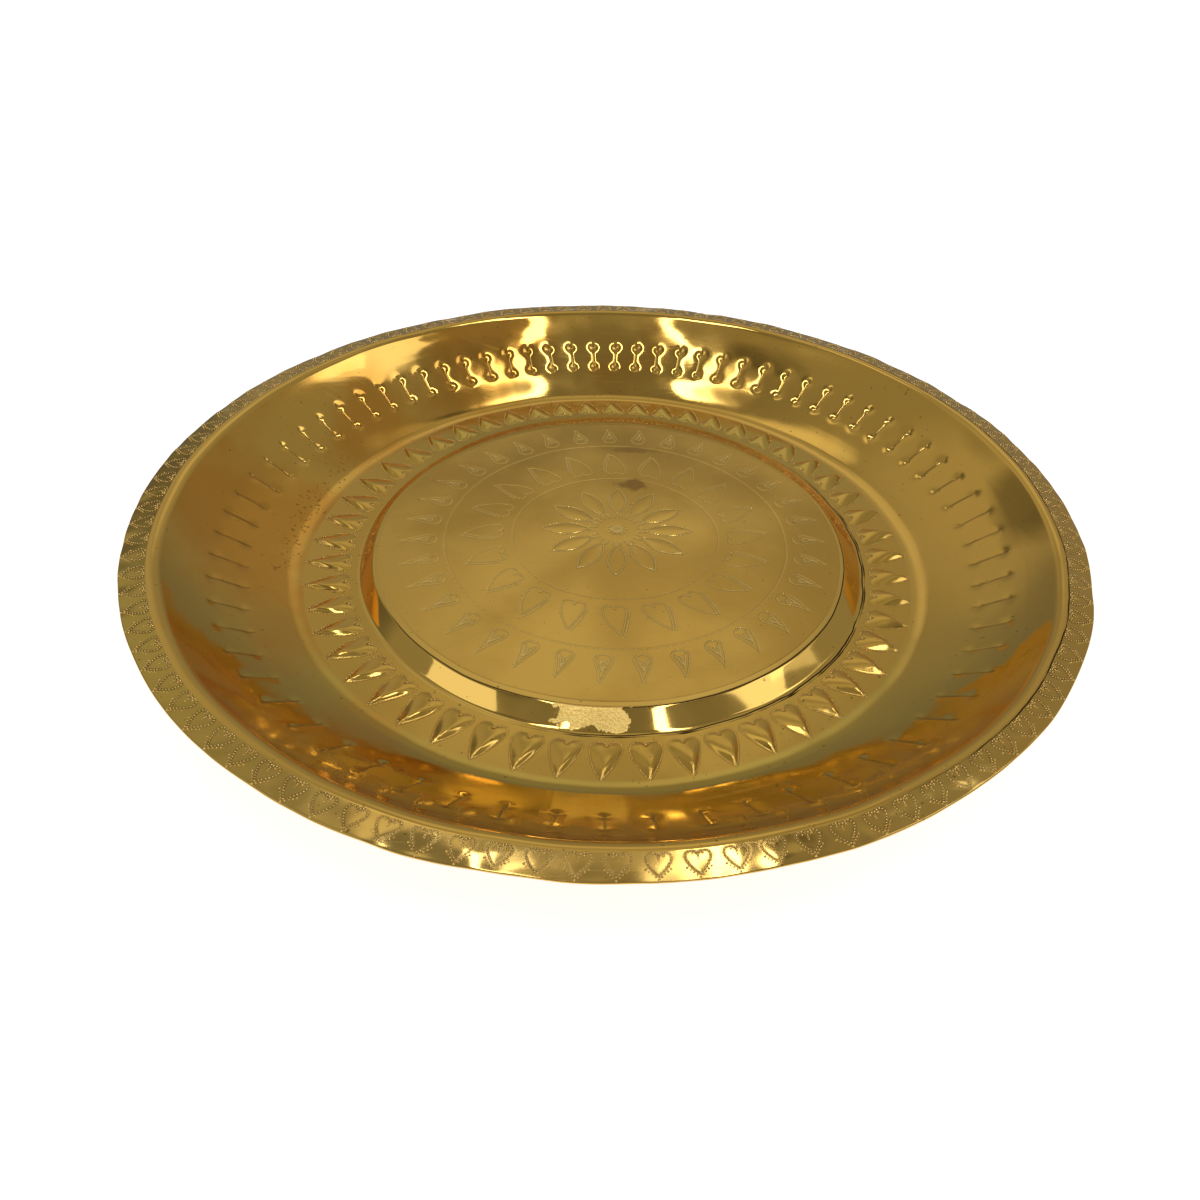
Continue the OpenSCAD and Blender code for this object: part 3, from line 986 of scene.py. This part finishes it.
def bead_lines(name, paths):
    """Edges along the lines that beads follow, each point with the way that it faces."""
    points, edges, facing = [], [], []
    for path, way in paths:
        start = len(points)
        points += [tuple(p) for p in path]
        facing += [tuple(f) for f in way]
        edges += [(start + k, start + k + 1) for k in range(len(path) - 1)]
    mesh = bpy.data.meshes.new(name)
    mesh.from_pydata(points, edges, [])
    mark = mesh.attributes.new("facing", "FLOAT_VECTOR", "POINT")
    mark.data.foreach_set("vector", np.asarray(facing, dtype=np.float32).ravel())
    return mesh


def on_floor(path):
    """A heart's line laid on the floor beside its pillow."""
    x, y = path[:, 0] + HEART_IN, path[:, 1]
    return np.c_[x, y, np.full_like(x, FLOOR_Z)], np.tile([0, 0, 1.0], (len(x), 1))


def on_rim(path):
    """A line laid on the sloping flange."""
    first = SECTION[ZONES["rim_flange"][0]]
    x, y = path[:, 0] + RIM_HEART_IN, path[:, 1]
    z = first[1] - (x - first[0]) * tan_of(FLANGE_ANGLE)
    return np.c_[x, y, z], np.tile([sin_of(FLANGE_ANGLE), 0, cos_of(FLANGE_ANGLE)], (len(x), 1))


def beading(name, count, paths, beads, seed, material):
    pitch, radius, height = beads
    values = {"Count": count, "Pitch": pitch, "Bead radius": radius, "Bead height": height,
              "Unevenness": BEAD_UNEVENNESS, "Seed": seed, "Material": material}
    mesh = through_tree(bead_lines(name, paths), BEADING, values)
    mesh.vertices.foreach_set("co", uneven(points_of(mesh)).ravel())
    mesh.update()
    return shown(name, mesh)


def floor_beading(material):
    lines = [on_floor(path) for path in both_sides(HEART_BEAD_LINE)]
    return beading("floor_beading", HEARTS, lines, FLOOR_BEADS, 3, material)


def rim_beading(material):
    chevron = np.array([[6.4 * MM, 4.0 * MM], [RIM_HEART_L + 1.3 * MM, 0]])
    paths = both_sides(RIM_HEART_EDGE) + both_sides(resampled(chevron, 0.5 * MM))
    paths += [dash(x * MM, (x + 0.9) * MM, y * MM) for x, y in ((0.3, 1.7), (0.3, -1.7), (2.4, 0))]
    lines = [on_rim(path) for path in paths]
    return beading("rim_beading", RIM_HEARTS, lines, RIM_BEADS, 5, material)


# Materials
def ramped(tree, value, low, high, start=0.0, end=1.0):
    """A number that goes smoothly from start to end as the value goes from low to high."""
    return node(tree, "ShaderNodeMapRange", {
        "Value": value, "From Min": low, "From Max": high, "To Min": start, "To Max": end},
        interpolation_type="SMOOTHSTEP").outputs[0]


def mixed(tree, share, first, second):
    """A colour between two, each a socket or a plain colour."""
    first, second = (value if isinstance(value, bpy.types.NodeSocket) else value + (1,)
                     for value in (first, second))
    return node(tree, "ShaderNodeMix", {0: share, 6: first, 7: second}, data_type="RGBA").outputs[2]


def place_of(tree):
    return node(tree, "ShaderNodeTexCoord").outputs["Object"]


# Lumps to a metre in each kind of mark
CLOUDS, WEAR, LINE_SHADE_PATCHES, SPECKLE = 14.0, 22.0, 90.0, 420.0
CREASE_GAPS, CREASE_WANDER, CREASE_GRAIN = 26.0, 70.0, 520.0
STAIN_EDGE, ETCHED_EDGE, ETCHED_GRAIN = 150.0, 190.0, 1300.0
# Lines to a metre across the plate and across a scratch
SPUN_LINES, SCRATCH_LINES = 2600.0, 1500


def noise_at(tree, place, scale, detail=3.0):
    noise = node(tree, "ShaderNodeTexNoise", {"Vector": place, "Scale": scale, "Detail": detail})
    return noise.outputs["Fac"]


def attribute(tree, name):
    return node(tree, "ShaderNodeAttribute", attribute_name=name).outputs["Fac"]


BRASS_TINT = (0.85, 0.515, 0.1)
# Painted shade: the darker tint that a part takes towards one side of the plate
SHADED_SIDE_TINT = (0.68, 0.455, 0.088)
TARNISH_TINT = (0.78, 0.44, 0.075)
DULL_TINT = (0.66, 0.38, 0.066)
BROWN_TINT = (0.76, 0.37, 0.055)
STEP_TINT = (0.84, 0.52, 0.105)
WALL_TINT = (0.84, 0.5, 0.095)
# Fresh-cut brass and a painted highlight: the paler tint of the engraved lines
FRESH_CUT_AND_HIGHLIGHT = (1.0, 0.75, 0.26)
PIT_TINT, GRAIN_TINT = (0.84, 0.51, 0.1), (1.0, 0.7, 0.2)
# The darkest tint: dark lines along rings, and painted shade along outlines and creases
DIRT_AND_SHADE, SPECKS, STAIN = (0.055, 0.03, 0.008), (0.16, 0.09, 0.02), (0.3, 0.15, 0.03)


def brass_group():
    """Tone, polish and fine marks of worn brass, from places on the plate."""
    tree, given = new_tree("Worn brass", "Shader", {
        "Tint": "Color", "Tarnish tint": "Color", "Tarnish": "Float", "Polish": "Float",
        "Wear": "Float", "Spinning marks": "Float", "Scratches": "Float", "Line shade": "Float"},
        {"Color": "Color", "Roughness": "Float", "Height": "Float"})
    place = place_of(tree)
    tarnish = times(tree, ramped(tree, noise_at(tree, place, CLOUDS, 5.0), 0.4, 0.62), given["Tarnish"])
    colour = mixed(tree, tarnish, given["Tint"], given["Tarnish tint"])
    speck = ramped(tree, noise_at(tree, place, SPECKLE, 2.0), 0.70, 0.76, 0.0, 0.6)
    colour = mixed(tree, speck, colour, SPECKS)
    # Painted highlight along the engraved lines, which also stand for paler fresh-cut brass
    cut = attribute(tree, "cut")
    colour = mixed(tree, times(tree, cut, 0.9), colour, FRESH_CUT_AND_HIGHLIGHT)
    # Painted shade, in patches, along outlines and creases, which also roughens them
    patchy = ramped(tree, noise_at(tree, place, LINE_SHADE_PATCHES), 0.3, 0.6, 0.5)
    line_shade = times(tree, times(tree, attribute(tree, "line_shade"), patchy), given["Line shade"])
    colour = mixed(tree, line_shade, colour, DIRT_AND_SHADE)

    scratches = None
    for turn in (0.2, 1.15, 2.3):
        laid = node(tree, "ShaderNodeMapping", {
            "Vector": place, "Rotation": (0, 0, turn), "Scale": (30, SCRATCH_LINES, 30)}).outputs[0]
        lines = ramped(tree, noise_at(tree, laid, 1.0, 1.5), 0.66, 0.74)
        scratches = lines if scratches is None else math_of(tree, "MAXIMUM", scratches, lines)
    scratches = times(tree, scratches, given["Scratches"])

    thin = node(tree, "ShaderNodeCombineXYZ", {"X": times(tree, attribute(tree, "ring"), SPUN_LINES)})
    turns = vector_of(tree, "MULTIPLY", place, (6.0, 6.0, 6.0))
    spun = noise_at(tree, vector_of(tree, "ADD", thin.outputs[0], turns), 1.0, 2.0)
    spun = times(tree, spun, given["Spinning marks"])

    worn = ramped(tree, noise_at(tree, place, WEAR, 6.0), 0.35, 0.7)
    rough = node(tree, "ShaderNodeMix", {0: worn, 2: given["Polish"], 3: given["Wear"]},
                 data_type="FLOAT").outputs[0]
    for mark, gain in ((scratches, 0.15), (line_shade, 0.3), (cut, 0.14)):
        rough = plus(tree, rough, times(tree, mark, gain))
    return put_out(tree, Color=colour, Roughness=rough, Height=minus(tree, spun, scratches))


def crease_group():
    """A dark line that wanders along a ring, strongest on one side of the plate."""
    tree, given = new_tree("Dark line in a crease", "Shader", {
        "Radius": "Float", "Width": "Float", "Wander": "Float", "Side": "Vector", "Reach": "Float",
        "Speckle": "Float"}, {"Mask": "Float"})
    place = place_of(tree)
    wander = times(tree, minus(tree, noise_at(tree, place, CREASE_WANDER, 5.0), 0.5), given["Wander"])
    off = minus(tree, plus(tree, attribute(tree, "ring"), wander), given["Radius"])
    gap = math_of(tree, "DIVIDE", math_of(tree, "ABSOLUTE", off), given["Width"])
    side = vector_of(tree, "DOT_PRODUCT", vector_of(tree, "NORMALIZE", place), given["Side"])
    near = node(tree, "ShaderNodeMapRange", {
        "Value": side, "From Min": given["Reach"], "From Max": 1.0, "To Min": 0.0, "To Max": 3.0})
    patchy = ramped(tree, noise_at(tree, place, CREASE_GAPS), 0.32, 0.52, 0.25)
    line = times(tree, ramped(tree, gap, 1.0, 0.35), near.outputs[0])
    mask = times(tree, line, patchy, use_clamp=True)
    grains = ramped(tree, noise_at(tree, place, CREASE_GRAIN, 6.0), 0.68, 0.56)
    mask = minus(tree, mask, times(tree, grains, given["Speckle"]), use_clamp=True)
    fainter = minus(tree, 1.0, times(tree, given["Speckle"], 0.35))
    return put_out(tree, Mask=times(tree, mask, fainter))


def etched_group():
    """A patch with a ragged border where the polish is lost, and its grain."""
    tree, given = new_tree("Etched patch", "Shader", {
        "Left": "Float", "Right": "Float", "Inner ring": "Float", "Outer ring": "Float"},
        {"Mask": "Float", "Grain": "Float"})
    place = place_of(tree)
    apart = node(tree, "ShaderNodeSeparateXYZ", {0: place}).outputs
    ragged = times(tree, minus(tree, noise_at(tree, place, ETCHED_EDGE, 8.0), 0.5), 22 * MM)
    across = plus(tree, apart[0], ragged)
    out = plus(tree, attribute(tree, "ring"), times(tree, ragged, 0.6))
    mask = math_of(tree, "GREATER_THAN", across, given["Left"])
    for test, value, limit in (
            ("LESS_THAN", across, given["Right"]), ("LESS_THAN", out, given["Outer ring"]),
            ("GREATER_THAN", attribute(tree, "ring"), given["Inner ring"]), ("LESS_THAN", apart[1], 0.0)):
        mask = times(tree, mask, math_of(tree, test, value, limit))
    grain = ramped(tree, noise_at(tree, place, ETCHED_GRAIN, 2.0), 0.35, 0.65)
    return put_out(tree, Mask=mask, Grain=grain)


WORN_BRASS = brass_group()
CREASE = crease_group()
ETCHED = etched_group()


def crease(radius, width, wander, side, reach, speckle=0.0):
    """Where a dark line lies: its ring, width and wander, and the side where it is strongest."""
    return {"Radius": radius * MM, "Width": width * MM, "Wander": wander * MM,
            "Side": (cos_of(side), sin_of(side), 0), "Reach": reach, "Speckle": speckle}


def stained(tree, colour, stains):
    """Plain brown blots, each with its place, size across and along, and strength."""
    place = place_of(tree)
    blur = times(tree, minus(tree, noise_at(tree, place, STAIN_EDGE, 6.0), 0.5), 1.6)
    for x, y, width, length, strength in stains:
        laid = node(tree, "ShaderNodeMapping", {
            "Vector": place, "Location": (-x / width, -y / length, 0), "Scale": (1 / width, 1 / length, 0)})
        size = plus(tree, vector_of(tree, "LENGTH", laid.outputs[0]), blur)
        colour = mixed(tree, ramped(tree, size, 1.1, 0.5, 0.0, strength), colour, STAIN)
    return colour


def towards(tree, side, start, end):
    """From 0 to 1 between two distances from the plate's axis, measured towards one side."""
    reach = vector_of(tree, "DOT_PRODUCT", place_of(tree), (cos_of(side), sin_of(side), 0))
    return ramped(tree, reach, start, end)


def new_surface(name):
    """A material, its tree and the surface in it."""
    material = bpy.data.materials.new(name)
    material.use_nodes = True
    return material, material.node_tree, material.node_tree.nodes["Principled BSDF"]


def brass(name, tint, tarnish=0.5, polish=0.06, wear=0.16, marks=0.4, scratches=0.3, line_shade=0.6,
          creases=(), stains=(), etched=None, tarnish_tint=TARNISH_TINT, shaded_side=None, stale=None):
    material, tree, surface = new_surface(name)
    worn = node(tree, "ShaderNodeGroup", {
        "Tint": tint + (1,), "Tarnish tint": tarnish_tint + (1,), "Tarnish": tarnish, "Polish": polish,
        "Wear": wear, "Spinning marks": marks, "Scratches": scratches, "Line shade": line_shade}, node_tree=WORN_BRASS)
    # Painted shade: the tint darkens towards one side of the part
    if shaded_side:
        filled(tree, worn, {"Tint": mixed(tree, towards(tree, *shaded_side), tint, SHADED_SIDE_TINT)})
    if stale:
        filled(tree, worn, {"Tarnish": times(tree, towards(tree, *stale), tarnish)})
    colour, rough, height = (worn.outputs[label] for label in ("Color", "Roughness", "Height"))
    if stains:
        colour = stained(tree, colour, stains)
    for values in creases:
        line = node(tree, "ShaderNodeGroup", values, node_tree=CREASE).outputs["Mask"]
        colour = mixed(tree, line, colour, DIRT_AND_SHADE)
        rough = plus(tree, rough, times(tree, line, 0.3))
    bump = node(tree, "ShaderNodeBump", {"Strength": 0.15, "Distance": 0.01 * MM, "Height": height})
    if etched:
        values = dict(zip(("Left", "Right", "Inner ring", "Outer ring"), etched))
        patch = node(tree, "ShaderNodeGroup", values, node_tree=ETCHED).outputs
        colour = mixed(tree, patch["Mask"], colour, mixed(tree, patch["Grain"], PIT_TINT, GRAIN_TINT))
        rough = plus(tree, rough, times(tree, patch["Mask"], 0.26))
        pits = times(tree, patch["Mask"], patch["Grain"])
        bump = node(tree, "ShaderNodeBump", {
            "Strength": 0.4, "Distance": 0.1 * MM, "Height": pits, "Normal": bump.outputs[0]})
    filled(tree, surface, {
        "Metallic": 1.0, "Base Color": colour, "Roughness": rough, "Normal": bump.outputs[0]})
    return material


BLOTS = ((13.5 * MM, 52 * MM, 9 * MM, 7 * MM, 0.7), (15 * MM, 89 * MM, 17 * MM, 4 * MM, 0.45))
ENGRAVED = brass("Engraved brass", BRASS_TINT, 0.8, 0.12, 0.24, scratches=0.35, stains=BLOTS,
                 tarnish_tint=DULL_TINT)
POLISHED = brass("Polished brass", STEP_TINT, 0.1, 0.04, 0.09, scratches=0.1, shaded_side=(110, 10 * MM, 100 * MM),
                 etched=(-20 * MM, 11 * MM, 118.6 * MM, 128.5 * MM),
                 creases=(crease(118.8, 0.4, 1.0, -70, -0.1), crease(131.2, 0.5, 2.0, -30, 0.2)))
SATIN = brass("Satin brass", (0.77, 0.465, 0.087), 0.4, 0.08, 0.18, line_shade=0.4, shaded_side=(90, 20 * MM, 120 * MM),
              creases=(crease(131.9, 0.6, 2.2, -30, 0.2),))
SPUN = brass("Spun brass", WALL_TINT, 1.0, 0.05, 0.15, marks=1.2, line_shade=0.5, tarnish_tint=BROWN_TINT,
             shaded_side=(-90, 20 * MM, 130 * MM), stale=(165, -120 * MM, 150 * MM),
             creases=(crease(163, 8, 14, 172, 0.93, 1.0),))
LIP = brass("Lip brass", BRASS_TINT, 0.3, 0.05, 0.12, creases=(crease(213.2, 0.35, 2.4, 0, 0.45),))
RIM = brass("Rim brass", (0.78, 0.5, 0.12), 0.5, 0.08, 0.18, line_shade=0.7, shaded_side=(180, 60 * MM, 190 * MM))
# Painted highlight: the beads have a paler, brighter tint than the sheet
BEADS = brass("Bead brass", (0.97, 0.67, 0.21), 0.0, 0.16, 0.26, scratches=0.0)

kept_as(raised_centre(ENGRAVED), "engraved_brass", "centre_disc")
kept_as(plain_ring("polished_step", "centre_step", 140, 6, POLISHED), "polished_brass", "centre_step")
kept_as(heart_floor(SATIN), "satin_brass", "well_floor")
kept_as(fluted_wall(SPUN), "spun_brass", "side_wall")
kept_as(plain_ring("rolled_lip", "rim_lip", 180, 5, LIP), "polished_brass", "rim_lip")
kept_as(heart_rim(RIM), "rim_brass", "rim_flange")
kept_as(floor_beading(BEADS), "satin_brass")
kept_as(rim_beading(BEADS), "rim_brass")


# Stage
def pale_floor():
    corners = [(-12.0, -12.0, 0), (12.0, -12.0, 0), (12.0, 12.0, 0), (-12.0, 12.0, 0)]
    mesh = mesh_of("stage_floor", corners, [(0, 1, 2, 3)])
    material, tree, surface = new_surface("Pale floor")
    rays = node(tree, "ShaderNodeLightPath").outputs
    seen = plus(tree, rays["Is Camera Ray"], rays["Is Glossy Ray"], use_clamp=True)
    seen = plus(tree, seen, rays["Is Transmission Ray"], use_clamp=True)
    filled(tree, surface, {
        "Base Color": (0.5, 0.5, 0.5, 1), "Roughness": 0.9, "Specular IOR Level": 0.0,
        "Emission Color": (1, 1, 1, 1), "Emission Strength": times(tree, seen, 0.86)})
    mesh.materials.append(material)
    shown("stage_floor", mesh)


# Soft patches of the studio as seen from the plate: the way to the middle of each, the angles
# at which it is full and gone, and what it adds to the plain tone
PLAIN_TONE = 0.3
PATCHES = (
    ((0, 0.707, 0.707), 2, 15, 0.27),
    ((0, 0.6, 0.8), 1, 8, -0.19),
    ((0.25, 0.77, 0.59), 3, 16, 0.07),
    ((0, -0.08, 1), 10, 34, -0.1),
    ((0, 0.44, 0.9), 3, 13, 0.2),
    ((0.46, -0.13, 0.88), 3, 10, -0.06),
    ((-0.42, -0.16, 0.89), 3, 9, -0.12),
    ((-0.82, 0.45, 0.35), 5, 16, -0.16),
    ((-0.27, 0.38, 0.88), 2, 9, 0.5),
    ((0.29, 0.42, 0.86), 2, 6, 0.14),
    ((0.26, 0.32, 0.91), 1, 4, -0.14),
    ((-0.52, 0.68, 0.5), 6, 28, 0.12),
    ((-0.58, 0.74, 0.33), 5, 13, -0.24),
)


def studio_world():
    """Soft light from all round, brightest behind the plate at the height of the lens."""
    world = bpy.data.worlds.new("Studio")
    bpy.context.scene.world = world
    world.use_nodes = True
    tree = world.node_tree
    background = tree.nodes["Background"]
    way = node(tree, "ShaderNodeTexCoord").outputs["Generated"]
    tone = PLAIN_TONE
    for middle, full, gone, gain in PATCHES:
        near = vector_of(tree, "DOT_PRODUCT", way, tuple(Vector(middle).normalized()))
        tone = plus(tree, tone, ramped(tree, near, cos_of(gone), cos_of(full), 0.0, gain))
    height = node(tree, "ShaderNodeSeparateXYZ", {0: way})
    low = ramped(tree, height.outputs["Z"], 0.0, 0.4, 0.7, 1.0)
    tree.links.new(times(tree, tone, low), background.inputs["Color"])


# The lamps are a little cooler than the room, which makes their reflections in brass paler
LAMP_TINT = (0.94, 1.0, 1.3)


def lamp(name, place, size, tone, turn=0, level=False):
    """A rectangular lamp of a given brightness as it is seen, level or facing the plate."""
    data = bpy.data.lights.new(name, "AREA")
    data.shape = "RECTANGLE"
    data.size, data.size_y = size
    data.energy = tone * math.pi * size[0] * size[1]
    data.color = LAMP_TINT
    holder = shown(name, data)
    holder.location = place
    if level:
        holder.rotation_euler = (0, 0, math.radians(turn))
    else:
        holder.rotation_euler = (-Vector(place)).to_track_quat("-Z", "Y").to_euler()


def photo_camera():
    """The camera that took the photograph, worked out from the plate's circles in it."""
    image_side, focal_px = 1200, 979.67
    elevation, distance = math.radians(33.22), 2.1567 * PLATE_R
    roll, pan_px, tilt_px = math.radians(-1.624), 4.337, -110.29
    rim_z = 37.37 * MM
    out = Vector((0, -math.cos(elevation), math.sin(elevation)))
    forward, right = -out, Vector((1, 0, 0))
    up = right.cross(forward)
    pan = Matrix.Rotation(math.atan(pan_px / focal_px), 3, up)
    forward, right = pan @ forward, pan @ right
    tilt = Matrix.Rotation(math.atan(tilt_px / focal_px), 3, right)
    forward, up = tilt @ forward, tilt @ up
    turn = Matrix.Rotation(roll, 3, forward)
    right, up = turn @ right, turn @ up
    data = bpy.data.cameras.new("Camera")
    data.sensor_width = 36
    data.lens = focal_px / image_side * data.sensor_width
    data.clip_start = 10 * MM
    camera = shown("Camera", data)
    rotation = Matrix((right, up, -forward)).transposed().to_4x4()
    camera.matrix_world = Matrix.Translation(out * distance + Vector((0, 0, rim_z))) @ rotation
    bpy.context.scene.camera = camera


pale_floor()
studio_world()
lamp("tube_left", (-0.36, -0.37, 1.9), (0.13, 1.46), 6, level=True)
lamp("tube_right", (0.44, -0.30, 1.9), (0.13, 1.7), 6, turn=7, level=True)
lamp("panel_right", (1.49, 0.08, 1.87), (0.9, 0.68), 1.1)
lamp("panel_far", (2.1, 0.5, 1.9), (0.5, 1.2), 0.5, turn=-53, level=True)
lamp("panel_left", (-1.85, -0.46, 1.9), (0.5, 1.42), 0.8, turn=65.6, level=True)
photo_camera()
bpy.context.scene.view_settings.view_transform = "Standard"
